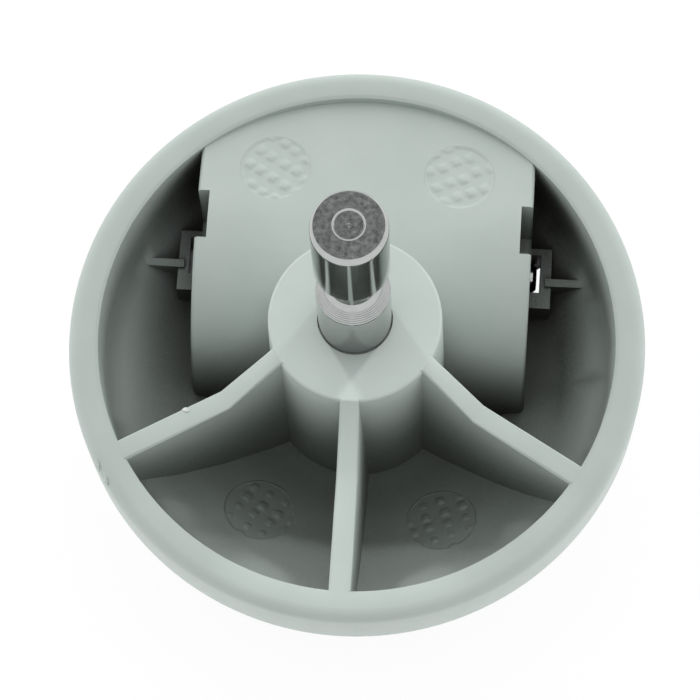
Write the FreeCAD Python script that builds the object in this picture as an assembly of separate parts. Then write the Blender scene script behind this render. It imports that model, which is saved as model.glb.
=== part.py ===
"""Swivel castor of a robot vacuum: a moulded cup with a steel stem on top and a crowned wheel below.

Millimetres, +Z up along the stem. The origin is on the stem's axis, on the flat top of the boss.
+X runs along the wheel's axle, and +Y points from the stem to the axle.
"""
import FreeCAD, Part
import math
import os

Vector = FreeCAD.Vector

# Driving dimensions: levels, counted from the top of the boss
RIM_TOP = -5.8
CUP_DEPTH = 19.6
FLOOR_THICKNESS = 2.0
FLOOR = RIM_TOP - CUP_DEPTH
UNDERSIDE = FLOOR - FLOOR_THICKNESS

# Driving dimensions: the moulded cup
RIM_RADIUS = 28.0
RIM_INNER_RADIUS = 25.1
RIM_EDGE_RADIUS = 1.3
RIM_INNER_CHAMFER = 0.25
WALL_FOOT_RADIUS = 24.75
DISH_RADIUS = 32.0
DISH_CENTRE = FLOOR + DISH_RADIUS

# Driving dimensions: the boss and its three radial ribs
BOSS_RADIUS = 8.3
BOSS_DRAFT = 1.2
BOSS_CHAMFER = 0.3
RIB_ANGLES = (-150.0, -90.0, -30.0)
RIB_TOP_WIDTH = 1.75
RIB_DRAFT = 1.5
RIB_LEVEL_RADIUS = 14.1
RIB_STEP = 0.05
RIB_CHAMFER = 0.2

# Driving dimensions: the axle, and the hump and well around the wheel
AXLE_Y = 11.4
AXLE_Z = RIM_TOP - 12.8
AXLE_RADIUS = 1.5
AXLE_HALF_LENGTH = 17.4
AXLE_CHAMFER = 0.35
AXLE_SEAT_RADIUS = 1.55
HUMP_Y = 11.9
HUMP_Z = RIM_TOP - 13.85
HUMP_RADIUS = 14.15
HUMP_TOP_HALF_WIDTH = 16.5
HUMP_DRAFT = 1.0
HUMP_TOP_SLOPE = 7.0
HUMP_CHAMFER = 0.3
WELL_RADIUS = 12.25
WELL_HALF_WIDTH = 14.5
WELL_REACH = 23.4

# Driving dimensions: the axle's snap seats, their pockets and braces
SEAT_PAD_RADIUS = 4.0
SEAT_PAD_THICKNESS = 1.0
SLOT_HALF_WIDTH = 1.3
SLOT_MOUTH_HALF_WIDTH = 2.2
SLOT_MOUTH_HEIGHT = 1.4
SLOT_MOUTH_TOP = AXLE_Z - 2.4
CHANNEL_INNER_X = 15.35
CHANNEL_OUTER_X = 17.75
CHANNEL_HALF_LENGTH = 2.45
POCKET_Y = 10.2
POCKET_OUTER_X = 18.8
POCKET_HALF_LENGTH = 3.15
POCKET_TOP = RIM_TOP - 9.2
POCKET_HOLE_Y = 10.7
POCKET_HOLE_HALF_LENGTH = 2.0
BRACE_Y = 9.7
BRACE_TOP = RIM_TOP - 8.8
BRACE_THICKNESS = 0.8

# Driving dimensions: the round marks of the ejector pins
EJECTOR_RADIUS = 3.5
EJECTOR_DEPTH = 0.2
EJECTOR_X = 9.1
EJECTOR_FLOOR_Y = -14.0
EJECTOR_HUMP_Y = 17.2

# Driving dimensions: the turned stem
STEM_RADIUS = 3.5
STEM_FOOT = RIM_TOP - 3.3
STEM_FOOT_RADIUS = 2.9
STEM_FOOT_CHAMFER = 0.5
STEM_RELIEF_RADIUS = 3.6
STEM_RELIEF_DEPTH = 0.3
GROOVE_BOTTOM = 8.4
GROOVE_CONE_TOP = 9.9
GROOVE_TOP = 15.4
GROOVE_TOP_CHAMFER = 0.25
NECK_RADIUS = 2.6
STEM_SHOULDER = 25.0
STEM_TOP = 25.8
STEM_END_RADIUS = 3.1
CENTRE_HOLE_RADIUS = 1.4
CENTRE_HOLE_DEPTH = 0.9

# Driving dimensions: the wheel
WHEEL_RADIUS = 10.5
CROWN_RADIUS = 26.0
TYRE_HALF_WIDTH = 10.5
TYRE_CHAMFER = 0.9
HUB_RIM_RADIUS = 7.0
HUB_RIM_HALF_WIDTH = 10.0
HUB_CORE_RADIUS = 3.4
HUB_CORE_HALF_LENGTH = 13.2
HUB_RECESS_OUTER_RADIUS = 5.5
HUB_RECESS_DEPTH = 7.0
HUB_RIB_COUNT = 4
HUB_RIB_WIDTH = 1.2

# Overlap of features that are fused, overshoot of cutters, and straight steps in rounded profiles
SINK = 0.6
CLEAR = 2.0
ROUND_STEPS = 4
DISH_STEPS = 5


def tan_deg(angle):
    return math.tan(math.radians(angle))


def polygon_face(points):
    """A plane face with straight edges through points."""
    return Part.Face(Part.makePolygon([Vector(*p) for p in points] + [Vector(*points[0])]))


def revolved(profile):
    """A solid turned about Z from (radius, height) corners."""
    face = polygon_face([(radius, 0, height) for radius, height in profile])
    return face.revolve(Vector(0, 0, 0), Vector(0, 0, 1), 360)


def arc_corners(centre, radius, start, end, steps=ROUND_STEPS):
    """Profile corners along an arc between two angles in degrees."""
    turn = (end - start) / steps
    angles = [math.radians(start + turn * step) for step in range(steps + 1)]
    return [(centre[0] + radius * math.cos(angle), centre[1] + radius * math.sin(angle)) for angle in angles]


def dish_corners(radius, edge_radius):
    """Profile corners of the dished floor, from the axis out to an edge radius."""
    edge_angle = -math.degrees(math.acos(edge_radius / radius))
    corners = arc_corners((0, DISH_CENTRE), radius, -90, edge_angle, DISH_STEPS)
    return [(0, DISH_CENTRE - radius)] + corners[1:]


def box(low, high):
    """A block between two corners."""
    size = [b - a for a, b in zip(low, high)]
    return Part.makeBox(*size, Vector(*low))


def cup_body():
    """The cup's outside: a rounded rim over a dome, still solid inside."""
    dome = dish_corners(DISH_RADIUS + FLOOR_THICKNESS, RIM_RADIUS)
    edge_centre = (RIM_RADIUS - RIM_EDGE_RADIUS, RIM_TOP - RIM_EDGE_RADIUS)
    edge = arc_corners(edge_centre, RIM_EDGE_RADIUS, 0, 90)
    return revolved(dome + edge + [(0, RIM_TOP)])


def cup_space(top, grow=0.0):
    """The space inside the cup up to a level: a dished floor under a drafted wall.

    Grown, it reaches into the wall and the floor by that much.
    """
    dish = dish_corners(DISH_RADIUS + grow, WALL_FOOT_RADIUS + grow)
    wall_radius = RIM_INNER_RADIUS + grow
    return revolved(dish + [(wall_radius, RIM_TOP), (wall_radius, top), (0, top)])


def arch_face(radius, foot, far_y):
    """Side profile of the hump: upright front, round crown, then a gentle slope to the far wall."""
    slope = math.radians(HUMP_TOP_SLOPE)
    front = Vector(0, HUMP_Y - radius, HUMP_Z)
    middle = Vector(0, HUMP_Y - radius * math.sqrt(0.5), HUMP_Z + radius * math.sqrt(0.5))
    crest = Vector(0, HUMP_Y + radius * math.sin(slope), HUMP_Z + radius * math.cos(slope))
    far = Vector(0, far_y, crest.z - (far_y - crest.y) * math.tan(slope))
    foot_far = Vector(0, far_y, foot)
    foot_front = Vector(0, front.y, foot)
    edges = [
        Part.Arc(front, middle, crest).toShape(),
        Part.LineSegment(crest, far).toShape(),
        Part.LineSegment(far, foot_far).toShape(),
        Part.LineSegment(foot_far, foot_front).toShape(),
        Part.LineSegment(foot_front, front).toShape(),
    ]
    return Part.Face(Part.Wire(edges))


def wheel_hump():
    """The outside of the hump over the wheel, with drafted side walls."""
    half_width = HUMP_TOP_HALF_WIDTH + CUP_DEPTH * tan_deg(HUMP_DRAFT)
    arch = arch_face(HUMP_RADIUS, FLOOR - SINK, RIM_RADIUS)
    arch.translate(Vector(-half_width, 0, 0))
    arch = arch.extrude(Vector(2 * half_width, 0, 0))
    draft = (CUP_DEPTH + CLEAR) * tan_deg(HUMP_DRAFT)
    top_half_width = half_width - draft
    front = HUMP_Y - HUMP_RADIUS - CLEAR
    flanks = polygon_face([
        (-half_width, front, FLOOR - SINK),
        (half_width, front, FLOOR - SINK),
        (half_width, front, FLOOR),
        (top_half_width, front, RIM_TOP + CLEAR),
        (-top_half_width, front, RIM_TOP + CLEAR),
        (-half_width, front, FLOOR),
    ]).extrude(Vector(0, 2 * RIM_RADIUS, 0))
    hump = arch.common(flanks)
    crown_edges = [
        edge for edge in hump.Edges
        if min(vertex.Z for vertex in edge.Vertexes) > HUMP_Z - SINK
        and edge.BoundBox.XLength < edge.BoundBox.YLength
        and edge.BoundBox.YMax < RIM_RADIUS + SINK
        and edge.BoundBox.YLength > SINK
    ]
    return hump.makeChamfer(HUMP_CHAMFER, crown_edges)


def wheel_well():
    """The space for the wheel, open below and kept inside the cup's far wall."""
    arch = arch_face(WELL_RADIUS, UNDERSIDE - CLEAR, RIM_RADIUS)
    arch.translate(Vector(-WELL_HALF_WIDTH, 0, 0))
    arch = arch.extrude(Vector(2 * WELL_HALF_WIDTH, 0, 0))
    reach = Part.makeCylinder(WELL_REACH, 2 * RIM_RADIUS, Vector(0, 0, UNDERSIDE - CLEAR))
    return arch.common(reach)


def stem_boss():
    """The drafted column that carries the stem."""
    foot_radius = BOSS_RADIUS + (SINK - FLOOR) * tan_deg(BOSS_DRAFT)
    return revolved([
        (0, FLOOR - SINK),
        (foot_radius, FLOOR - SINK),
        (BOSS_RADIUS, -BOSS_CHAMFER),
        (BOSS_RADIUS - BOSS_CHAMFER, 0),
        (0, 0),
    ])


def radial_rib(angle):
    """One rib: it slopes down from the boss's edge, then runs level to the rim, with drafted sides."""
    half_top = RIB_TOP_WIDTH / 2
    half_foot = half_top + (SINK - FLOOR) * tan_deg(RIB_DRAFT)
    outer = RIM_RADIUS
    level = RIM_TOP - RIB_STEP
    side = polygon_face([
        (0, -half_foot, FLOOR - SINK),
        (outer, -half_foot, FLOOR - SINK),
        (outer, -half_foot, level),
        (RIB_LEVEL_RADIUS, -half_foot, level),
        (BOSS_RADIUS, -half_foot, 0),
        (0, -half_foot, 0),
    ]).extrude(Vector(0, 2 * half_foot, 0))
    section = polygon_face([
        (0, -half_foot, FLOOR - SINK),
        (0, half_foot, FLOOR - SINK),
        (0, half_top, 0),
        (0, -half_top, 0),
    ]).extrude(Vector(outer, 0, 0))
    rib = side.common(section)
    top_edges = [
        edge for edge in rib.Edges
        if min(vertex.Z for vertex in edge.Vertexes) > RIM_TOP - SINK
        and edge.BoundBox.XLength > CLEAR
        and edge.BoundBox.XMax > BOSS_RADIUS + SINK
    ]
    rib = rib.makeChamfer(RIB_CHAMFER, top_edges)
    rib.rotate(Vector(0, 0, 0), Vector(0, 0, 1), angle)
    return rib


def on_both_sides(shape):
    """A shape on the +X side, with its mirror image on the -X side."""
    return [shape, shape.mirror(Vector(0, 0, 0), Vector(1, 0, 0))]


def axle_pocket():
    """The walled pocket outside the hump that closes over the axle's end, with its brace to the rim."""
    pocket = box(
        (HUMP_TOP_HALF_WIDTH - SINK, POCKET_Y - POCKET_HALF_LENGTH, FLOOR - SINK),
        (POCKET_OUTER_X, POCKET_Y + POCKET_HALF_LENGTH, POCKET_TOP),
    )
    brace = box(
        (POCKET_OUTER_X - SINK, BRACE_Y - BRACE_THICKNESS / 2, FLOOR - SINK),
        (RIM_INNER_RADIUS, BRACE_Y + BRACE_THICKNESS / 2, BRACE_TOP),
    )
    return pocket.fuse(brace)


def seat_pad():
    """The thickened strip inside the well that the axle bears on, run down to the open underside."""
    inner_x = WELL_HALF_WIDTH - SEAT_PAD_THICKNESS
    disc = Part.makeCylinder(
        SEAT_PAD_RADIUS, SEAT_PAD_THICKNESS + SINK, Vector(inner_x, AXLE_Y, AXLE_Z), Vector(1, 0, 0)
    )
    strip = box(
        (inner_x, AXLE_Y - SEAT_PAD_RADIUS, UNDERSIDE),
        (WELL_HALF_WIDTH + SINK, AXLE_Y + SEAT_PAD_RADIUS, AXLE_Z),
    )
    return disc.fuse(strip).common(cup_body())


def snap_seat():
    """The cut for one axle end: a round seat, a narrow throat and a flared mouth, open below."""
    inner_x = WELL_HALF_WIDTH - SEAT_PAD_THICKNESS - SINK
    length = CHANNEL_OUTER_X - inner_x
    seat = Part.makeCylinder(
        AXLE_SEAT_RADIUS, length, Vector(inner_x, AXLE_Y, AXLE_Z), Vector(1, 0, 0)
    )
    mouth_foot = SLOT_MOUTH_TOP - SLOT_MOUTH_HEIGHT
    throat = polygon_face([
        (inner_x, AXLE_Y - SLOT_HALF_WIDTH, AXLE_Z),
        (inner_x, AXLE_Y - SLOT_HALF_WIDTH, SLOT_MOUTH_TOP),
        (inner_x, AXLE_Y - SLOT_MOUTH_HALF_WIDTH, mouth_foot),
        (inner_x, AXLE_Y - SLOT_MOUTH_HALF_WIDTH, UNDERSIDE - CLEAR),
        (inner_x, AXLE_Y + SLOT_MOUTH_HALF_WIDTH, UNDERSIDE - CLEAR),
        (inner_x, AXLE_Y + SLOT_MOUTH_HALF_WIDTH, mouth_foot),
        (inner_x, AXLE_Y + SLOT_HALF_WIDTH, SLOT_MOUTH_TOP),
        (inner_x, AXLE_Y + SLOT_HALF_WIDTH, AXLE_Z),
    ]).extrude(Vector(length, 0, 0))
    hole = box(
        (CHANNEL_INNER_X, POCKET_HOLE_Y - POCKET_HOLE_HALF_LENGTH, AXLE_Z),
        (CHANNEL_OUTER_X, POCKET_HOLE_Y + POCKET_HOLE_HALF_LENGTH, POCKET_TOP + SINK),
    )
    channel = box(
        (CHANNEL_INNER_X, HUMP_Y - CHANNEL_HALF_LENGTH, POCKET_TOP),
        (CHANNEL_OUTER_X, HUMP_Y + CHANNEL_HALF_LENGTH, RIM_TOP + CLEAR),
    )
    return seat.multiFuse([throat, hole, channel])


def stem_socket():
    """The cut for the stem: a bore for its foot and a shallow relief round its shoulder."""
    return revolved([
        (0, STEM_FOOT),
        (STEM_FOOT_RADIUS, STEM_FOOT),
        (STEM_FOOT_RADIUS, -STEM_RELIEF_DEPTH),
        (STEM_RELIEF_RADIUS, -STEM_RELIEF_DEPTH),
        (STEM_RELIEF_RADIUS, CLEAR),
        (0, CLEAR),
    ])


def ejector_marks():
    """Cutters for the shallow round marks on the hump and on the dished floor."""
    slope = math.radians(HUMP_TOP_SLOPE)
    hump_normal = Vector(0, math.sin(slope), math.cos(slope))
    crest = Vector(0, HUMP_Y, HUMP_Z) + hump_normal * HUMP_RADIUS
    hump_z = crest.z - (EJECTOR_HUMP_Y - crest.y) * math.tan(slope)
    sunk_floor = cup_space(RIM_TOP, EJECTOR_DEPTH)
    cutters = []
    for x in (-EJECTOR_X, EJECTOR_X):
        on_hump = Vector(x, EJECTOR_HUMP_Y, hump_z) - hump_normal * EJECTOR_DEPTH
        cutters.append(Part.makeCylinder(EJECTOR_RADIUS, CLEAR, on_hump, hump_normal))
        floor_pin = Part.makeCylinder(EJECTOR_RADIUS, CUP_DEPTH, Vector(x, EJECTOR_FLOOR_Y, UNDERSIDE))
        cutters.append(floor_pin.common(sunk_floor))
    return cutters


def castor_housing():
    """The one-piece moulding: cup, hump, boss, ribs, axle pockets and snap seats."""
    lead_in = revolved([
        (0, RIM_TOP - RIM_INNER_CHAMFER),
        (RIM_INNER_RADIUS, RIM_TOP - RIM_INNER_CHAMFER),
        (RIM_INNER_RADIUS + RIM_INNER_CHAMFER + CLEAR, RIM_TOP + CLEAR),
        (0, RIM_TOP + CLEAR),
    ])
    cup = cup_body().cut(cup_space(RIM_TOP + CLEAR)).cut(lead_in)
    fittings = [wheel_hump(), stem_boss()]
    fittings += [radial_rib(angle) for angle in RIB_ANGLES]
    fittings += on_both_sides(axle_pocket())
    inside = cup_space(CLEAR, SINK)
    housing = cup.multiFuse([fitting.common(inside) for fitting in fittings])
    housing = housing.cut(wheel_well())
    housing = housing.multiFuse(on_both_sides(seat_pad()))
    cutters = on_both_sides(snap_seat()) + ejector_marks()
    return housing.cut(cutters + [stem_socket()])


def stem_pin():
    """The turned steel stem: foot in the boss, two journals with a clip groove between, centred end."""
    return revolved([
        (0, STEM_FOOT),
        (STEM_FOOT_RADIUS - STEM_FOOT_CHAMFER, STEM_FOOT),
        (STEM_FOOT_RADIUS, STEM_FOOT + STEM_FOOT_CHAMFER),
        (STEM_FOOT_RADIUS, -STEM_RELIEF_DEPTH),
        (STEM_RADIUS, STEM_RELIEF_DEPTH),
        (STEM_RADIUS, GROOVE_BOTTOM),
        (NECK_RADIUS, GROOVE_CONE_TOP),
        (NECK_RADIUS, GROOVE_TOP),
        (STEM_RADIUS - GROOVE_TOP_CHAMFER, GROOVE_TOP),
        (STEM_RADIUS, GROOVE_TOP + GROOVE_TOP_CHAMFER),
        (STEM_RADIUS, STEM_SHOULDER),
        (STEM_END_RADIUS, STEM_TOP),
        (CENTRE_HOLE_RADIUS, STEM_TOP),
        (0, STEM_TOP - CENTRE_HOLE_DEPTH),
    ])


def laid_on_axle(solid):
    """Turns a solid made about Z so that it lies about the wheel's axle."""
    solid.rotate(Vector(0, 0, 0), Vector(0, 1, 0), 90)
    solid.translate(Vector(0, AXLE_Y, AXLE_Z))
    return solid


def wheel_axle():
    """The plain steel pin through the wheel, with chamfered ends."""
    axle = revolved([
        (0, -AXLE_HALF_LENGTH),
        (AXLE_RADIUS - AXLE_CHAMFER, -AXLE_HALF_LENGTH),
        (AXLE_RADIUS, -AXLE_HALF_LENGTH + AXLE_CHAMFER),
        (AXLE_RADIUS, AXLE_HALF_LENGTH - AXLE_CHAMFER),
        (AXLE_RADIUS - AXLE_CHAMFER, AXLE_HALF_LENGTH),
        (0, AXLE_HALF_LENGTH),
    ])
    return laid_on_axle(axle)


def wheel_hub():
    """The moulded hub: a core tube, a rim and, in each side, a ring recess crossed by ribs."""
    hub = revolved([
        (AXLE_RADIUS, -HUB_CORE_HALF_LENGTH),
        (HUB_CORE_RADIUS, -HUB_CORE_HALF_LENGTH),
        (HUB_CORE_RADIUS, -HUB_RIM_HALF_WIDTH),
        (HUB_RIM_RADIUS, -HUB_RIM_HALF_WIDTH),
        (HUB_RIM_RADIUS, HUB_RIM_HALF_WIDTH),
        (HUB_CORE_RADIUS, HUB_RIM_HALF_WIDTH),
        (HUB_CORE_RADIUS, HUB_CORE_HALF_LENGTH),
        (AXLE_RADIUS, HUB_CORE_HALF_LENGTH),
    ])
    floor = HUB_RIM_HALF_WIDTH - HUB_RECESS_DEPTH
    recess = revolved([
        (HUB_CORE_RADIUS, floor),
        (HUB_RECESS_OUTER_RADIUS, floor),
        (HUB_RECESS_OUTER_RADIUS, HUB_RIM_HALF_WIDTH),
        (HUB_CORE_RADIUS, HUB_RIM_HALF_WIDTH),
    ])
    for step in range(HUB_RIB_COUNT):
        rib = box((0, -HUB_RIB_WIDTH / 2, floor), (HUB_RIM_RADIUS, HUB_RIB_WIDTH / 2, HUB_RIM_HALF_WIDTH))
        rib.rotate(Vector(0, 0, 0), Vector(0, 0, 1), step * 360 / HUB_RIB_COUNT)
        recess = recess.cut(rib)
    for side in (recess, recess.mirror(Vector(0, 0, 0), Vector(0, 0, 1))):
        hub = hub.cut(side)
    return laid_on_axle(hub)


def tyre():
    """The crowned rubber tyre moulded round the hub's rim, with chamfered edges."""
    crown_half_width = TYRE_HALF_WIDTH - TYRE_CHAMFER
    half_angle = math.degrees(math.asin(crown_half_width / CROWN_RADIUS))
    crown = arc_corners((WHEEL_RADIUS - CROWN_RADIUS, 0), CROWN_RADIUS, -half_angle, half_angle)
    side_radius = crown[0][0] - TYRE_CHAMFER
    return laid_on_axle(revolved(
        [(HUB_RIM_RADIUS, -TYRE_HALF_WIDTH), (side_radius, -TYRE_HALF_WIDTH)]
        + crown
        + [(side_radius, TYRE_HALF_WIDTH), (HUB_RIM_RADIUS, TYRE_HALF_WIDTH)]
    ))


os.makedirs("parts", exist_ok=True)
for piece in (castor_housing, stem_pin, wheel_axle, wheel_hub, tyre):
    shape = piece()
    shape.exportStep(f"parts/{piece.__name__}.step")
    print(piece.__name__, shape.isValid(), len(shape.Solids), round(shape.Volume, 1))
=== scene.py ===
import math
import random

import bmesh
import bpy
from mathutils import Matrix, Vector, noise


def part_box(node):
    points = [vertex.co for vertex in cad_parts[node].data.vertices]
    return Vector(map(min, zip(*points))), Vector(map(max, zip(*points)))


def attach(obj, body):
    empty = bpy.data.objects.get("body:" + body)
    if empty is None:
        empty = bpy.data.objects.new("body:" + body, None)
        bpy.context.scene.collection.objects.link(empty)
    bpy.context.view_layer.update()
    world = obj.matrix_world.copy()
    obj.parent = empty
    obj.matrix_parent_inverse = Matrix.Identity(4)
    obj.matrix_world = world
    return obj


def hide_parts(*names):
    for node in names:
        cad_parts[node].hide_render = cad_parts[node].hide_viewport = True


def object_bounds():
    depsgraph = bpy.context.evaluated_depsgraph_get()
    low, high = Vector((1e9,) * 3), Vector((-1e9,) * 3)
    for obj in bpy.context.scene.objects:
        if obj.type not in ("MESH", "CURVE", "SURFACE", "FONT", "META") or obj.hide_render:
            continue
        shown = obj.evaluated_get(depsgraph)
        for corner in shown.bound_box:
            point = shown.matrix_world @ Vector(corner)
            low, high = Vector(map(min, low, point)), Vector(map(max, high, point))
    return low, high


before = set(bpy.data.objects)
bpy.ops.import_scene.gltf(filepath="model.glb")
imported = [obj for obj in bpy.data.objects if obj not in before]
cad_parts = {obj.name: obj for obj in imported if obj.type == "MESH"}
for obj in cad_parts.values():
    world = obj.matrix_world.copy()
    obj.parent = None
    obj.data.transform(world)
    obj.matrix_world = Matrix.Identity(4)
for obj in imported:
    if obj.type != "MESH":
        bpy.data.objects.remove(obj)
cad_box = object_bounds()

# Lengths below are in millimetres, in the part's own frame
MM = 0.001

# The moulding's rim, dished floor and hump
RIM_TOP = -5.8
RIM_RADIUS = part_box("castor_housing")[1].x / MM
RIM_EDGE_RADIUS = 1.3
DISH_RADIUS = 32.0
DISH_CENTRE = 6.6
HUMP_Y = 11.9
HUMP_Z = -19.65
HUMP_RADIUS = 14.15
HUMP_SLOPE = math.radians(7.0)

# Wear: a nick and two flakes on the rim's outer edge, at angles in degrees, and a burr on the left rib
NICK_ANGLE = 212.0
EDGE_LEAN = -35.0
NICK_INSET = -0.02
NICK_SIZE = (0.13, 0.4, 0.3)
FLAKE_ANGLES = (210.4, 214.2)
FLAKE_SIZE = (0.13, 0.36, 0.3)
RIB_BURR = (-15.88, -8.25, -5.87)
RIB_BURR_SIZE = (0.3, 0.24, 0.16)

# How ragged a torn lump is: the scale and height of two patterns, and how far a seed shifts them
LUMP_COARSE = (1.6, 0.5)
LUMP_FINE = (4.3, 0.22)
LUMP_SHIFT = (3.1, 1.7, 0.9)
LUMP_SUBDIVISIONS = 4

# The round marks: places, and a field with a sunk ground, whose edge rises almost to the face around it
MARK_X = 9.1
MARK_FLOOR_Y = -14.0
MARK_HUMP_Y = 17.2
MARK_RADIUS = 3.485
MARK_EDGE = 0.4
MARK_DEPTH = 0.15
MARK_EDGE_HEIGHT = MARK_DEPTH * 0.9
MARK_UNDERSIDE = -0.15
MARK_RINGS = 56
MARK_SEGMENTS = 224

# The waffle in a mark: its rows' two pitches, and bosses with soft flanks that differ a little
WAFFLE_SHORT_PITCH = 1.44
WAFFLE_LONG_PITCH = 1.84
WAFFLE_HEIGHT = 0.21
WAFFLE_BOSS = 0.54
WAFFLE_FLANK = (0.25 * WAFFLE_BOSS, 1.25 * WAFFLE_BOSS)
WAFFLE_TOPS = (0.7, 1.0)
WAFFLE_LEAN = 0.09
WAFFLE_ROUGHNESS = 0.018
WAFFLE_ROUGH_SCALE = 2.3

# The stem's turned profile
STEM_RADIUS = 3.5
STEM_FOOT = -9.1
STEM_FOOT_RADIUS = 2.9
STEM_RELIEF = 0.3
STEM_ROUND = 0.08
GROOVE_BOTTOM = 8.4
GROOVE_CONE_TOP = 10.7
GROOVE_TOP = 15.4
GROOVE_ROUND = 0.1
NECK_RADIUS = 2.25
CONE_HOLD = 0.06
CONE_STEPS = 72
STEM_SHOULDER = 25.0
JOURNAL_END = STEM_SHOULDER - 1.0
ROUNDED_END = STEM_SHOULDER - 0.9
STEM_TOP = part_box("stem_pin")[1].z / MM
STEM_END_RADIUS = 3.1
STEM_END_ROUND = 0.3
STEM_END_FACING = 0.75

# The dimple in the stem's end, with a thin lip round it and a pit in its middle
DIMPLE_RADIUS = 1.4
DIMPLE_DEPTH = 0.3
DIMPLE_BOWL_DEPTH = DIMPLE_DEPTH * 0.7
DIMPLE_LIP = 0.1
PIT_RADIUS = 0.2
PIT_DEPTH = 0.9

# The tool rings on the stem's cone: a slow rise and a quick fall, fading out along the cone
RING_PITCH = 0.26
RING_HEIGHT = 0.09
RING_RISE = 0.75
RING_FADE = (0.55, 0.8)

# The wheel
WHEEL_RADIUS = (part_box("tyre")[1].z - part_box("tyre")[0].z) / 2 / MM
CROWN_RADIUS = 26.0
CROWN_STEPS = 40
TYRE_HALF_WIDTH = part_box("tyre")[1].x / MM
TYRE_SHOULDER = 0.9
TYRE_ROUND = 0.5
HUB_RIM_RADIUS = 7.0
AXLE_RADIUS = 1.5
AXLE_HALF_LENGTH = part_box("wheel_axle")[1].x / MM
AXLE_CHAMFER = 0.35
AXLE_ROUND = 0.08
AXLE_Y = (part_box("wheel_axle")[0].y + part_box("wheel_axle")[1].y) / 2 / MM
AXLE_Z = (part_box("wheel_axle")[0].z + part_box("wheel_axle")[1].z) / 2 / MM

# Meshes and their shading
LATHE_SEGMENTS = 192
WELD_DISTANCE = 0.002
ROUND_STEPS = 4
HOLD = 1.25
SHARP_ANGLE = math.radians(50.0)
NORMAL_WEIGHT = 80

# Colours, and how gloss varies: added to a plastic's roughness, and multiplied with a steel's
HOUSING_DARK = (0.500, 0.562, 0.530)
HOUSING_LIGHT = (0.528, 0.590, 0.560)
WHITENED = (0.78, 0.81, 0.795)
HUB_DARK = (0.045, 0.045, 0.048)
HUB_LIGHT = (0.06, 0.06, 0.064)
PLASTIC_SPECULAR = 0.15
PLASTIC_GLOSS = (-0.07, 0.09)
STEEL_DARK = (0.44, 0.455, 0.445)
STEEL_LIGHT = (0.50, 0.515, 0.505)
STEEL_GLOSS = (0.7, 1.5)
# The stem end's colours are darkened to paint in the dark reflection on the end face
STEM_END_SHADED_DARK = (0.075, 0.08, 0.077)
STEM_END_SHADED_LIGHT = (0.25, 0.26, 0.255)
RUBBER_BLACK = (0.022, 0.022, 0.023)
RUBBER_BLOOM = (0.075, 0.074, 0.07)

# Patterns: the noise values at the ends of most ranges, and how some are stretched along the axes
NOISE_SPAN = (0.3, 0.7)
STEM_STRETCH = (0.15, 0.15, 4.0)
AXLE_STRETCH = (4.0, 0.2, 0.2)
SCUFF_STRETCH = (3.0, 0.5, 0.5)

# Painted shade on the lower stem, full at one height and gone at another
STEEL_FOOT_SHADE = (0.17, 0.185, 0.18)
STEM_FOOT_SHADE_SPAN = (0.0, 9.0)

# Painted shade where the moulding is shut in, by how open a place is within a reach
SHADE_REACH = 20.0
SHADE_RANGE = (0.0, 0.41)
SHADE_COLOUR = (0.072, 0.067, 0.058)
OPENNESS_SAMPLES = 8

# Painted shade beside the hump: where it comes and goes along X, Y and Z, and by how open a place is
POCKET_SHADE_INNER = (16.3, 16.8)
POCKET_SHADE_RIGHT = (20.5, 24.5)
POCKET_SHADE_LEFT = (-22.5, -18.0)
POCKET_SHADE_FRONT = (-9.0, -1.0)
POCKET_SHADE_FLOOR = (-21.0, -18.0)
POCKET_SHADE_TOP = (-9.0, -6.3)
POCKET_SHADE_OPENNESS = (0.25, 0.5)
POCKET_SHADE_SHARE = 0.85
POCKET_SHADE_COLOUR = (0.03, 0.028, 0.024)

# The camera, as fitted to the photograph
IMAGE_SIZE = 700
FOCAL_PIXELS = 2893.6
AIM_PIXEL = (356.223, 337.318)
SENSOR_WIDTH = 36.0
CAMERA_DISTANCE = 280.0
CAMERA_ELEVATION = math.radians(72.002)
CAMERA_PAN = math.radians(7.243)
CAMERA_ROLL = math.radians(3.788)

# The light: a surround that is strongest low down and weakest from the front, and two spots
SKY_HEIGHTS = (0.2, 0.85)
SKY_LEVELS = (1.7, 1.0)
FRONT_SPREAD = (-0.6, 0.1)
FRONT_LEVELS = (0.3, 1.0)
SPOT_PLACES = ((-75, 100, 165), (75, 100, 165))
SPOT_AIM = (0, -14, -10)
SPOT_WIDTH = math.radians(9.0)
SPOT_RADIUS = 10.0
SPOT_POWER = 0.5
WHITE = (1, 1, 1, 1)

# The table: its light on the part, the share of its white that takes shadows, and the light on it
TABLE_SIZE = 4000.0
TABLE_LEVEL = 1.2
SHADOW_SHARE = 0.22
UNSHADED_LEVEL = 0.8


def shade(mesh):
    """Shades a mesh smoothly across shallow edges."""
    mesh.shade_smooth()
    mesh.set_sharp_from_angle(angle=SHARP_ANGLE)


def finish_mesh(name, points, faces):
    """An object from points in millimetres."""
    mesh = bpy.data.meshes.new(name)
    mesh.from_pydata([Vector(point) * MM for point in points], [], faces)
    shade(mesh)
    piece = bpy.data.objects.new(name, mesh)
    bpy.context.collection.objects.link(piece)
    return piece


def finish_form(name, form, millimetre):
    """An object from a bmesh, given the length of a millimetre in it."""
    form.verts.index_update()
    points = [vertex.co / millimetre for vertex in form.verts]
    faces = [[vertex.index for vertex in face.verts] for face in form.faces]
    form.free()
    return finish_mesh(name, points, faces)


def smooth_copy(node, name):
    """A copy of a CAD solid whose facets are shaded as the curved faces they stand for."""
    form = bmesh.new()
    form.from_mesh(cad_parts[node].data)
    bmesh.ops.remove_doubles(form, verts=form.verts, dist=WELD_DISTANCE * MM)
    return finish_form(name, form, MM)


def even_normals(piece):
    """Keeps flat faces flat in the shading next to rounded edges."""
    modifier = piece.modifiers.new("even_normals", "WEIGHTED_NORMAL")
    modifier.keep_sharp = True
    modifier.weight = NORMAL_WEIGHT


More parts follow.
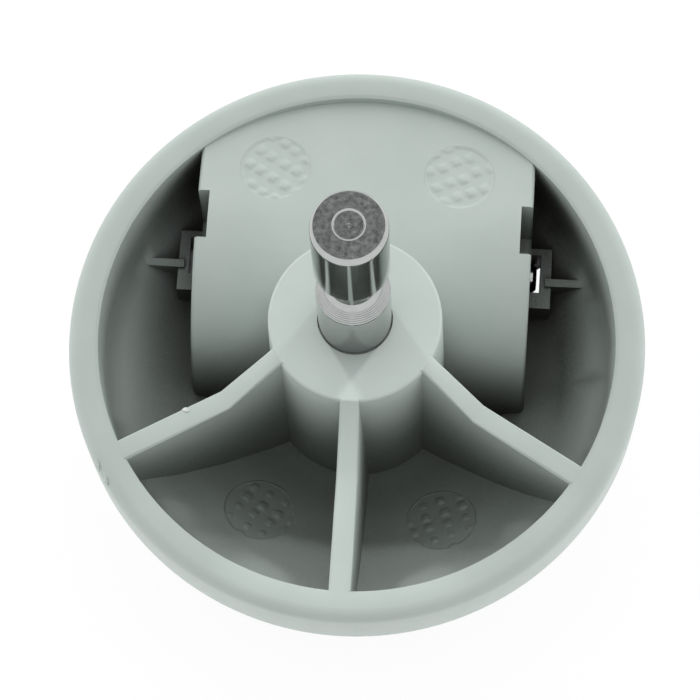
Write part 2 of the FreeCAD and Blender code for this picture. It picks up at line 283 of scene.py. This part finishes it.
def softened(corners, radius):
    """A profile with each inner corner rounded off, over at most a third of the sides next to it.

    A point just outside each round keeps the shading of straight stretches straight.
    """
    corners = [Vector(corner) for corner in corners]
    path = [corners[0]]
    for before, corner, after in zip(corners, corners[1:], corners[2:]):
        reach = min(radius, (before - corner).length / 3, (after - corner).length / 3)
        start = corner + (before - corner).normalized() * reach
        end = corner + (after - corner).normalized() * reach
        path.append(corner + (start - corner) * HOLD)
        for step in range(ROUND_STEPS + 1):
            t = step / ROUND_STEPS
            path.append(start * (1 - t) ** 2 + corner * 2 * t * (1 - t) + end * t ** 2)
        path.append(corner + (end - corner) * HOLD)
    return path + [corners[-1]]


def lathe(name, profile, place=Matrix.Identity(4)):
    """A turned piece from (radius, height) points, from one end of its axis to the other."""
    points = []
    rings = []
    for radius, height in profile:
        count = 1 if radius < WELD_DISTANCE else LATHE_SEGMENTS
        rings.append(range(len(points), len(points) + count))
        for step in range(count):
            angle = math.tau * step / LATHE_SEGMENTS
            points.append(place @ Vector((radius * math.cos(angle), radius * math.sin(angle), height)))
    faces = []
    for low, high in zip(rings, rings[1:]):
        for step in range(LATHE_SEGMENTS):
            turn = (step + 1) % LATHE_SEGMENTS
            corners = [
                low[step % len(low)],
                low[turn % len(low)],
                high[turn % len(high)],
                high[step % len(high)],
            ]
            faces.append(list(dict.fromkeys(corners)))
    return finish_mesh(name, points, faces)


def smooth_step(low, high, value):
    """Nought below one value and one above another, with a smooth rise between them."""
    t = min(max((value - low) / (high - low), 0.0), 1.0)
    return t * t * (3 - 2 * t)


# Materials

def new_material(name):
    """A material and its shader, with coordinates in millimetres on the piece."""
    material = bpy.data.materials.new(name)
    material.use_nodes = True
    tree = material.node_tree
    where = tree.nodes.new("ShaderNodeTexCoord")
    scale = tree.nodes.new("ShaderNodeVectorMath")
    scale.operation = "SCALE"
    scale.inputs["Scale"].default_value = 1 / MM
    tree.links.new(where.outputs["Object"], scale.inputs[0])
    return material, tree, tree.nodes["Principled BSDF"], scale.outputs["Vector"]


def set_surface(tree, shader, colour, roughness, normal):
    """Links a material's colour, roughness and normal to its shader."""
    for socket, value in (("Base Color", colour), ("Roughness", roughness), ("Normal", normal)):
        tree.links.new(value, shader.inputs[socket])


def add_noise(tree, vector, scale, detail=3.0, roughness=0.55):
    node = tree.nodes.new("ShaderNodeTexNoise")
    node.inputs["Scale"].default_value = scale
    node.inputs["Detail"].default_value = detail
    node.inputs["Roughness"].default_value = roughness
    tree.links.new(vector, node.inputs["Vector"])
    return node.outputs["Fac"]


def add_range(tree, value, span, result=(0.0, 1.0)):
    """A value carried from one span to another, and held at its ends."""
    node = tree.nodes.new("ShaderNodeMapRange")
    for socket, end in zip(("From Min", "From Max", "To Min", "To Max"), (*span, *result)):
        node.inputs[socket].default_value = end
    tree.links.new(value, node.inputs["Value"])
    return node.outputs["Result"]


def add_mix(tree, factor, first, second):
    """A blend of two colours."""
    node = tree.nodes.new("ShaderNodeMix")
    node.data_type = "RGBA"
    tree.links.new(factor, node.inputs["Factor"])
    node.inputs["A"].default_value = (*first, 1)
    node.inputs["B"].default_value = (*second, 1)
    return node.outputs["Result"]


def add_cover(tree, below, share, colour):
    """A share of one colour laid over the colour that another node gives."""
    covered = add_mix(tree, share, colour, colour)
    tree.links.new(below, covered.node.inputs["A"])
    return covered


def add_bump(tree, height, distance, strength, normal=None):
    node = tree.nodes.new("ShaderNodeBump")
    node.inputs["Distance"].default_value = distance * MM
    node.inputs["Strength"].default_value = strength
    tree.links.new(height, node.inputs["Height"])
    if normal is not None:
        tree.links.new(normal, node.inputs["Normal"])
    return node.outputs["Normal"]


def add_stretch(tree, vector, scale):
    """Coordinates multiplied by a factor along each axis."""
    node = tree.nodes.new("ShaderNodeVectorMath")
    node.operation = "MULTIPLY"
    node.inputs[1].default_value = scale
    tree.links.new(vector, node.inputs[0])
    return node.outputs["Vector"]


def add_split(tree, vector):
    """The three parts of a vector, by the names of their axes."""
    node = tree.nodes.new("ShaderNodeSeparateXYZ")
    tree.links.new(vector, node.inputs["Vector"])
    return node.outputs


def add_math(tree, operation, first, second):
    node = tree.nodes.new("ShaderNodeMath")
    node.operation = operation
    tree.links.new(first, node.inputs[0])
    tree.links.new(second, node.inputs[1])
    return node.outputs["Value"]


def add_window(tree, value, rise, fall):
    """One between two ranges of a value, falling to nought outside them."""
    risen = add_range(tree, value, rise)
    return add_math(tree, "MULTIPLY", risen, add_range(tree, value, fall, (1.0, 0.0)))


def add_openness(tree, distance):
    """One in the open, falling to nought deep in corners and pockets."""
    node = tree.nodes.new("ShaderNodeAmbientOcclusion")
    node.samples = OPENNESS_SAMPLES
    node.inputs["Distance"].default_value = distance * MM
    return node.outputs["AO"]


def add_pocket_shade(tree, where, openness):
    """Painted shade in the pockets beside the hump, darkest next to it."""
    place = add_split(tree, where)
    right = add_window(tree, place["X"], POCKET_SHADE_INNER, POCKET_SHADE_RIGHT)
    left = add_window(tree, place["X"], POCKET_SHADE_LEFT, [-x for x in reversed(POCKET_SHADE_INNER)])
    pocket_shade = add_math(tree, "ADD", left, right)
    for mask in (
        add_range(tree, place["Y"], POCKET_SHADE_FRONT),
        add_window(tree, place["Z"], POCKET_SHADE_FLOOR, POCKET_SHADE_TOP),
        add_range(tree, openness, POCKET_SHADE_OPENNESS, (POCKET_SHADE_SHARE, 0.0)),
    ):
        pocket_shade = add_math(tree, "MULTIPLY", pocket_shade, mask)
    return pocket_shade


def moulded_plastic(name, dark, light, roughness, grain=0.35, recess_shade=False):
    """Moulded plastic: clouds of tone, patches of gloss, a fine grain, and painted shade in recesses and
    beside the hump when asked for.
    """
    material, tree, shader, where = new_material(name)
    shader.inputs["Specular IOR Level"].default_value = PLASTIC_SPECULAR
    clouds = add_noise(tree, where, scale=0.16, detail=4.0)
    colour = add_mix(tree, add_range(tree, clouds, NOISE_SPAN), dark, light)
    if recess_shade:
        # Painted shade: the colour is darkened in recesses and closed-in corners, by how open they are
        openness = add_openness(tree, SHADE_REACH)
        dust_and_shade = add_range(tree, openness, SHADE_RANGE, (1.0, 0.0))
        recess_shaded = add_cover(tree, colour, dust_and_shade, SHADE_COLOUR)
        # Painted shade: the pockets beside the hump are darkened further, most where they are closed in
        colour = add_cover(tree, recess_shaded, add_pocket_shade(tree, where, openness), POCKET_SHADE_COLOUR)
    patches = add_noise(tree, where, scale=0.9, detail=5.0, roughness=0.65)
    gloss = add_range(tree, patches, (0.25, 0.75), [roughness + change for change in PLASTIC_GLOSS])
    waves = add_bump(tree, add_noise(tree, where, scale=0.35, detail=2.0), distance=0.05, strength=0.25)
    grains = add_noise(tree, where, scale=7.0, roughness=0.6)
    normal = add_bump(tree, grains, distance=0.012, strength=grain, normal=waves)
    set_surface(tree, shader, colour, gloss, normal)
    return material


def turned_steel(name, roughness, lines, stretch, foot_shade=None):
    """Turned steel: fine tool lines across one axis, faint smears, and painted shade low down if given."""
    material, tree, shader, where = new_material(name)
    shader.inputs["Metallic"].default_value = 1.0
    tint = add_noise(tree, where, scale=0.8, detail=4.0, roughness=0.6)
    colour = add_mix(tree, add_range(tree, tint, NOISE_SPAN), STEEL_DARK, STEEL_LIGHT)
    # Painted shade: the steel is darkened towards the stem's foot
    if foot_shade is not None:
        foot_shaded = add_range(tree, add_split(tree, where)["Z"], foot_shade, (1.0, 0.0))
        colour = add_cover(tree, colour, foot_shaded, STEEL_FOOT_SHADE)
    smears = add_noise(tree, where, scale=1.6, detail=5.0, roughness=0.7)
    gloss = add_range(tree, smears, (0.3, 0.75), [roughness * share for share in STEEL_GLOSS])
    tool_marks = add_noise(tree, add_stretch(tree, where, stretch), scale=6.0, roughness=0.7)
    normal = add_bump(tree, tool_marks, distance=0.004, strength=lines)
    set_surface(tree, shader, colour, gloss, normal)
    return material


def faced_steel(name):
    """The cut end of the stem: rough, mottled, with torn specks that catch the light, and a painted dark
    reflection in its darkened colour.
    """
    material, tree, shader, where = new_material(name)
    shader.inputs["Metallic"].default_value = 1.0
    tears = add_noise(tree, where, scale=2.2, detail=6.0, roughness=0.75)
    # Painted dark reflection: the end's colours are far darker than its steel
    colour = add_mix(tree, add_range(tree, tears, (0.35, 0.7)), STEM_END_SHADED_DARK, STEM_END_SHADED_LIGHT)
    gloss = add_range(tree, tears, NOISE_SPAN, (0.42, 0.24))
    coarse = add_bump(tree, tears, distance=0.055, strength=0.7)
    specks = add_noise(tree, where, scale=9.0, detail=4.0, roughness=0.7)
    normal = add_bump(tree, specks, distance=0.006, strength=0.5, normal=coarse)
    set_surface(tree, shader, colour, gloss, normal)
    return material


def worn_rubber(name):
    """Dark rubber with a dusty bloom, scuffs round the tread and a matt grain."""
    material, tree, shader, where = new_material(name)
    dust_and_shade = add_noise(tree, where, scale=0.45, detail=6.0, roughness=0.7)
    colour = add_mix(tree, add_range(tree, dust_and_shade, (0.45, 0.75)), RUBBER_BLACK, RUBBER_BLOOM)
    gloss = add_range(tree, dust_and_shade, NOISE_SPAN, (0.55, 0.8))
    stretched = add_stretch(tree, where, SCUFF_STRETCH)
    scuffs = add_noise(tree, stretched, scale=1.2, detail=5.0, roughness=0.7)
    scuffed = add_bump(tree, scuffs, distance=0.06, strength=0.4)
    grains = add_noise(tree, where, scale=6.0)
    normal = add_bump(tree, grains, distance=0.02, strength=0.45, normal=scuffed)
    set_surface(tree, shader, colour, gloss, normal)
    return material


housing_plastic = moulded_plastic("housing_plastic", HOUSING_DARK, HOUSING_LIGHT, roughness=0.48, recess_shade=True)
torn_plastic = moulded_plastic("torn_plastic", HOUSING_LIGHT, WHITENED, roughness=0.6, grain=0.9)
hub_plastic = moulded_plastic("hub_plastic", HUB_DARK, HUB_LIGHT, roughness=0.45)
stem_steel = turned_steel("stem_steel", roughness=0.10, lines=0.22, stretch=STEM_STRETCH, foot_shade=STEM_FOOT_SHADE_SPAN)
stem_end = faced_steel("stem_end")
axle_steel = turned_steel("axle_steel", roughness=0.16, lines=0.25, stretch=AXLE_STRETCH)
tyre_rubber = worn_rubber("tyre_rubber")


def dress(piece, body, slot, *materials):
    """Gives a piece its materials, and lets it move with its body; the slot it is given is not used."""
    for material in materials:
        piece.data.materials.append(material)
    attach(piece, body)
    return piece


# The moulding

def ragged_lump(name, place, size, seed):
    """A small torn lump: the shape of a flake, or of the hole that one leaves."""
    form = bmesh.new()
    bmesh.ops.create_icosphere(form, subdivisions=LUMP_SUBDIVISIONS, radius=1.0)
    shift = Vector([seed * step for step in LUMP_SHIFT])
    for vertex in form.verts:
        swell = 1
        for scale, share in (LUMP_COARSE, LUMP_FINE):
            swell += share * noise.noise(vertex.co * scale + shift)
        ragged = vertex.co * swell
        vertex.co = place @ Vector([across * length for across, length in zip(ragged, size)])
    return finish_form(name, form, 1.0)


def on_rim_edge(angle, inset=0.0):
    """A place on the rim's rounded outer edge, sunk by an inset, with X pointing out and up."""
    turn = Matrix.Rotation(math.radians(angle), 4, "Z")
    centre = Matrix.Translation((RIM_RADIUS - RIM_EDGE_RADIUS, 0, RIM_TOP - RIM_EDGE_RADIUS))
    lean = Matrix.Rotation(math.radians(EDGE_LEAN), 4, "Y")
    return turn @ centre @ lean @ Matrix.Translation((RIM_EDGE_RADIUS - inset, 0, 0))


def cut_nick(piece, cutter):
    """Cuts a hole of the cutter's shape and surface out of a piece."""
    cut = piece.modifiers.new("nick", "BOOLEAN")
    cut.object = cutter
    cut.operation = "DIFFERENCE"
    cut.solver = "EXACT"
    cut.material_mode = "TRANSFER"
    depsgraph = bpy.context.evaluated_depsgraph_get()
    mesh = bpy.data.meshes.new_from_object(piece.evaluated_get(depsgraph))
    piece.modifiers.remove(cut)
    piece.data = mesh
    shade(mesh)
    bpy.data.objects.remove(cutter)


housing = smooth_copy("castor_housing", "housing_moulding")
housing.data.materials.append(housing_plastic)
nick = ragged_lump("nick", on_rim_edge(NICK_ANGLE, NICK_INSET), NICK_SIZE, seed=3)
nick.data.materials.append(torn_plastic)
cut_nick(housing, nick)
dress(housing, "housing", "housing_plastic")
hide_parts("castor_housing")
even_normals(housing)

for index, angle in enumerate(FLAKE_ANGLES):
    flake = ragged_lump(f"rim_flake_{index + 1}", on_rim_edge(angle), FLAKE_SIZE, seed=5 + index)
    dress(flake, "housing", "housing_plastic", torn_plastic)
burr = ragged_lump("rib_burr", Matrix.Translation(RIB_BURR), RIB_BURR_SIZE, seed=9)
dress(burr, "housing", "housing_plastic", torn_plastic)


# The round marks

def dish_ground(x, y):
    """Height of a mark's ground, sunk below the dished floor."""
    return DISH_CENTRE - math.sqrt((DISH_RADIUS + MARK_DEPTH) ** 2 - x * x - y * y)


def hump_ground(x, y):
    """Height of a mark's ground, sunk below the sloping top of the hump."""
    crest_y = HUMP_Y + HUMP_RADIUS * math.sin(HUMP_SLOPE)
    crest_z = HUMP_Z + HUMP_RADIUS * math.cos(HUMP_SLOPE)
    return crest_z - (y - crest_y) * math.tan(HUMP_SLOPE) - MARK_DEPTH


def waffle_relief(turn, offset, seed):
    """Heights in a mark: soft square bosses in rows, turned by degrees and offset by shares of a pitch."""
    rand = random.Random(seed)
    bosses = {}
    turn = math.radians(turn)

    def height(u, v):
        row = (u * math.cos(turn) + v * math.sin(turn)) / WAFFLE_SHORT_PITCH + offset[0]
        column = (v * math.cos(turn) - u * math.sin(turn)) / WAFFLE_LONG_PITCH + offset[1]
        cell = (round(row), round(column))
        drawn = (
            rand.uniform(*WAFFLE_TOPS),
            rand.uniform(-WAFFLE_LEAN, WAFFLE_LEAN),
            rand.uniform(-WAFFLE_LEAN, WAFFLE_LEAN),
        )
        # A boss keeps the first values that are drawn for it
        top, lean_row, lean_column = bosses.setdefault(cell, drawn)
        across = abs(row - cell[0] - lean_row) * WAFFLE_SHORT_PITCH
        along = abs(column - cell[1] - lean_column) * WAFFLE_LONG_PITCH
        reach = (across ** 3 + along ** 3) ** (1 / 3)
        rough = WAFFLE_ROUGHNESS * noise.noise(Vector((u, v, seed)) * WAFFLE_ROUGH_SCALE)
        boss = WAFFLE_HEIGHT * top * (1 - smooth_step(*WAFFLE_FLANK, reach)) + rough
        edge = smooth_step(MARK_RADIUS - MARK_EDGE, MARK_RADIUS, math.hypot(u, v))
        return boss * (1 - edge) + MARK_EDGE_HEIGHT * edge

    return height


def waffle_mark(name, centre, ground, height):
    """A closed round field with a relief on top, that stands in an ejector mark."""

    def place(u, v, lift):
        x = centre[0] + u
        y = centre[1] + v
        return (x, y, ground(x, y) + lift)

    angles = [math.tau * step / MARK_SEGMENTS for step in range(MARK_SEGMENTS)]
    points = [place(0, 0, height(0, 0))]
    for ring in range(1, MARK_RINGS + 1):
        radius = MARK_RADIUS * ring / MARK_RINGS
        for angle in angles:
            u = radius * math.cos(angle)
            v = radius * math.sin(angle)
            points.append(place(u, v, height(u, v)))
    for angle in angles:
        points.append(place(MARK_RADIUS * math.cos(angle), MARK_RADIUS * math.sin(angle), MARK_UNDERSIDE))
    points.append(place(0, 0, MARK_UNDERSIDE))
    steps = [(step, (step + 1) % MARK_SEGMENTS) for step in range(MARK_SEGMENTS)]
    faces = [[0, 1 + step, 1 + turned] for step, turned in steps]
    for ring in range(MARK_RINGS):
        low = 1 + ring * MARK_SEGMENTS
        high = low + MARK_SEGMENTS
        faces += [[low + step, high + step, high + turned, low + turned] for step, turned in steps]
    last = 1 + MARK_RINGS * MARK_SEGMENTS
    foot = len(points) - 1
    faces += [[last + turned, last + step, foot] for step, turned in steps]
    mark = finish_mesh(name, points, faces)
    return dress(mark, "housing", "housing_plastic", housing_plastic)


for name, centre, ground, turn, offset, seed in (
    ("waffle_floor_left", (-MARK_X, MARK_FLOOR_Y), dish_ground, 64.0, (-0.53, -0.10), 11),
    ("waffle_floor_right", (MARK_X, MARK_FLOOR_Y), dish_ground, -72.0, (-0.30, -0.29), 12),
    ("waffle_hump_left", (-MARK_X, MARK_HUMP_Y), hump_ground, -33.0, (0.68, -0.45), 21),
    ("waffle_hump_right", (MARK_X, MARK_HUMP_Y), hump_ground, 26.0, (-0.25, 0.10), 22),
):
    waffle_mark(name, centre, ground, waffle_relief(turn, offset, seed))


# The stem

def ringed_cone():
    """Points along the groove's conical shoulder, with tool rings that fade out towards the neck."""
    cone = []
    length = math.hypot(STEM_RADIUS - NECK_RADIUS, GROOVE_CONE_TOP - GROOVE_BOTTOM)
    fall = RING_RISE / (1 - RING_RISE)
    for step in range(1, CONE_STEPS):
        t = step / CONE_STEPS
        phase = (t * length / RING_PITCH) % 1.0
        tooth = phase if phase < RING_RISE else fall * (1 - phase)
        ridge = RING_HEIGHT * tooth * (1 - smooth_step(*RING_FADE, t))
        cone.append(Vector((
            STEM_RADIUS + (NECK_RADIUS - STEM_RADIUS) * t + ridge,
            GROOVE_BOTTOM + (GROOVE_CONE_TOP - GROOVE_BOTTOM) * t,
        )))
    return cone


def stem_profile():
    """The stem's outline from its foot to the pit in its end."""
    lower = softened([
        (0, STEM_FOOT),
        (STEM_FOOT_RADIUS, STEM_FOOT),
        (STEM_FOOT_RADIUS, -STEM_RELIEF),
        (STEM_RADIUS, STEM_RELIEF),
        (STEM_RADIUS, GROOVE_BOTTOM - CONE_HOLD),
    ], STEM_ROUND)
    corner = Vector((STEM_RADIUS, GROOVE_BOTTOM))
    journal = softened([
        (NECK_RADIUS, GROOVE_CONE_TOP + CONE_HOLD),
        (NECK_RADIUS, GROOVE_TOP),
        (STEM_RADIUS, GROOVE_TOP),
        (STEM_RADIUS, JOURNAL_END),
    ], GROOVE_ROUND)
    end = softened([
        (STEM_RADIUS, ROUNDED_END),
        (STEM_RADIUS, STEM_SHOULDER),
        (STEM_END_RADIUS, STEM_TOP),
        (DIMPLE_RADIUS + DIMPLE_LIP, STEM_TOP),
        (DIMPLE_RADIUS, STEM_TOP + DIMPLE_LIP / 2),
        (DIMPLE_RADIUS - DIMPLE_LIP, STEM_TOP - DIMPLE_LIP / 2),
        (DIMPLE_RADIUS / 2, STEM_TOP - DIMPLE_BOWL_DEPTH),
        (PIT_RADIUS, STEM_TOP - DIMPLE_DEPTH),
        (0, STEM_TOP - PIT_DEPTH),
    ], STEM_END_ROUND)
    return lower + [corner] + ringed_cone() + journal + end


stem = lathe("stem_turned", stem_profile())
dress(stem, "housing", "stem_steel", stem_steel, stem_end)
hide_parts("stem_pin")
for face in stem.data.polygons:
    radius = face.center.xy.length / MM
    on_lip = abs(radius - DIMPLE_RADIUS) < DIMPLE_LIP
    if face.center.z > STEM_SHOULDER * MM and face.normal.z > STEM_END_FACING and not on_lip:
        face.material_index = 1


# The wheel

along_axle = Matrix.Translation((0, AXLE_Y, AXLE_Z)) @ Matrix.Rotation(math.pi / 2, 4, "Y")

axle_profile = softened([
    (0, -AXLE_HALF_LENGTH),
    (AXLE_RADIUS - AXLE_CHAMFER, -AXLE_HALF_LENGTH),
    (AXLE_RADIUS, -AXLE_HALF_LENGTH + AXLE_CHAMFER),
    (AXLE_RADIUS, AXLE_HALF_LENGTH - AXLE_CHAMFER),
    (AXLE_RADIUS - AXLE_CHAMFER, AXLE_HALF_LENGTH),
    (0, AXLE_HALF_LENGTH),
], AXLE_ROUND)
axle = lathe("axle_turned", axle_profile, along_axle)
dress(axle, "wheel", "axle_steel", axle_steel)
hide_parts("wheel_axle")


def tyre_profile():
    """The tyre's outline: a crowned tread between two rounded shoulders."""
    half_angle = math.asin((TYRE_HALF_WIDTH - TYRE_SHOULDER) / CROWN_RADIUS)
    tread = []
    for step in range(CROWN_STEPS + 1):
        angle = half_angle * (2 * step / CROWN_STEPS - 1)
        radius = WHEEL_RADIUS - CROWN_RADIUS + CROWN_RADIUS * math.cos(angle)
        tread.append((radius, CROWN_RADIUS * math.sin(angle)))
    side = tread[0][0] - TYRE_SHOULDER
    low = softened([
        (HUB_RIM_RADIUS, -TYRE_HALF_WIDTH),
        (side, -TYRE_HALF_WIDTH),
        tread[0],
        tread[1],
    ], TYRE_ROUND)
    high = softened([
        tread[-2],
        tread[-1],
        (side, TYRE_HALF_WIDTH),
        (HUB_RIM_RADIUS, TYRE_HALF_WIDTH),
    ], TYRE_ROUND)
    return low[:-1] + [Vector(point) for point in tread[1:-1]] + high[1:] + [low[0]]


tyre = lathe("tyre_tread", tyre_profile(), along_axle)
dress(tyre, "wheel", "tyre_rubber", tyre_rubber)
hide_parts("tyre")

hub = smooth_copy("wheel_hub", "hub_moulding")
dress(hub, "wheel", "hub_plastic", hub_plastic)
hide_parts("wheel_hub")
even_normals(hub)


# The studio

def photo_camera():
    """A camera that sees the rim's centre on its pixel, from the fitted distance and angles."""
    aim = Vector((0, 0, RIM_TOP)) * MM
    back = Vector((
        math.sin(CAMERA_PAN) * math.cos(CAMERA_ELEVATION),
        -math.cos(CAMERA_PAN) * math.cos(CAMERA_ELEVATION),
        math.sin(CAMERA_ELEVATION),
    ))
    middle = IMAGE_SIZE / 2
    ray = Vector(((AIM_PIXEL[0] - middle) / FOCAL_PIXELS, (middle - AIM_PIXEL[1]) / FOCAL_PIXELS, -1))
    swing = Vector((0, 0, -1)).rotation_difference(ray).to_matrix() @ Matrix.Rotation(CAMERA_ROLL, 3, "Z")
    look = (-back).to_track_quat("-Z", "Y").to_matrix()
    lens = bpy.data.cameras.new("photo_camera")
    lens.sensor_width = SENSOR_WIDTH
    lens.lens = FOCAL_PIXELS / IMAGE_SIZE * lens.sensor_width
    camera = bpy.data.objects.new("photo_camera", lens)
    bpy.context.collection.objects.link(camera)
    turned = (look @ swing.transposed()).to_4x4()
    camera.matrix_world = Matrix.Translation(aim + back * CAMERA_DISTANCE * MM) @ turned
    bpy.context.scene.camera = camera


def show_apart(tree, light, shown, output_type):
    """Ends a tree in a shader that lights the part, and another that the camera and reflections see."""
    path = tree.nodes.new("ShaderNodeLightPath")
    seen = add_math(tree, "MAXIMUM", path.outputs["Is Camera Ray"], path.outputs["Is Glossy Ray"])
    mix = tree.nodes.new("ShaderNodeMixShader")
    tree.links.new(seen, mix.inputs["Fac"])
    tree.links.new(light, mix.inputs[1])
    tree.links.new(shown, mix.inputs[2])
    output = tree.nodes.new(output_type)
    tree.links.new(mix.outputs["Shader"], output.inputs["Surface"])


def plane(name, size, place):
    mesh = bpy.data.meshes.new(name)
    half = size * MM / 2
    corners = [(-half, -half, 0), (half, -half, 0), (half, half, 0), (-half, half, 0)]
    mesh.from_pydata(corners, [], [(0, 1, 2, 3)])
    sheet = bpy.data.objects.new(name, mesh)
    sheet.matrix_world = place
    bpy.context.collection.objects.link(sheet)
    return sheet


def studio_world():
    """A surround that looks white, and lights the part most from low down and least from the front."""
    world = bpy.data.worlds.new("studio")
    world.use_nodes = True
    bpy.context.scene.world = world
    tree = world.node_tree
    tree.nodes.clear()
    where = tree.nodes.new("ShaderNodeTexCoord")
    direction = add_split(tree, where.outputs["Generated"])
    by_height = add_range(tree, direction["Z"], SKY_HEIGHTS, SKY_LEVELS)
    by_front = add_range(tree, direction["Y"], FRONT_SPREAD, FRONT_LEVELS)
    light = tree.nodes.new("ShaderNodeBackground")
    light.inputs["Color"].default_value = WHITE
    tree.links.new(add_math(tree, "MULTIPLY", by_height, by_front), light.inputs["Strength"])
    white = tree.nodes.new("ShaderNodeBackground")
    white.inputs["Color"].default_value = WHITE
    show_apart(tree, light.outputs["Background"], white.outputs["Background"], "ShaderNodeOutputWorld")


def studio_floor():
    """A table under the wheel that lights the part from below, and shows a soft trace of its shadow."""
    floor = plane("floor", TABLE_SIZE, Matrix.Translation((0, 0, cad_box[0].z)))
    material = bpy.data.materials.new("floor_white")
    material.use_nodes = True
    tree = material.node_tree
    tree.nodes.clear()
    table = tree.nodes.new("ShaderNodeEmission")
    table.inputs["Strength"].default_value = TABLE_LEVEL
    trace = tree.nodes.new("ShaderNodeBsdfDiffuse")
    trace.inputs["Color"].default_value = (SHADOW_SHARE, SHADOW_SHARE, SHADOW_SHARE, 1)
    glow = tree.nodes.new("ShaderNodeEmission")
    glow.inputs["Strength"].default_value = 1 - UNSHADED_LEVEL * SHADOW_SHARE
    lit = tree.nodes.new("ShaderNodeAddShader")
    tree.links.new(trace.outputs["BSDF"], lit.inputs[0])
    tree.links.new(glow.outputs["Emission"], lit.inputs[1])
    show_apart(tree, table.outputs["Emission"], lit.outputs["Shader"], "ShaderNodeOutputMaterial")
    floor.data.materials.append(material)


def near_spots():
    """Two narrow lamps from above and behind that light the front sectors, unseen in reflections."""
    for place in SPOT_PLACES:
        lamp = bpy.data.lights.new("near_spot", "SPOT")
        lamp.energy = SPOT_POWER
        lamp.spot_size = SPOT_WIDTH
        lamp.spot_blend = 1.0
        lamp.shadow_soft_size = SPOT_RADIUS * MM
        spot = bpy.data.objects.new("near_spot", lamp)
        turned = (Vector(SPOT_AIM) - Vector(place)).to_track_quat("-Z", "Y").to_matrix().to_4x4()
        spot.matrix_world = Matrix.Translation(Vector(place) * MM) @ turned
        spot.visible_glossy = False
        bpy.context.collection.objects.link(spot)


photo_camera()
studio_world()
studio_floor()
near_spots()
bpy.context.scene.view_settings.view_transform = "Standard"
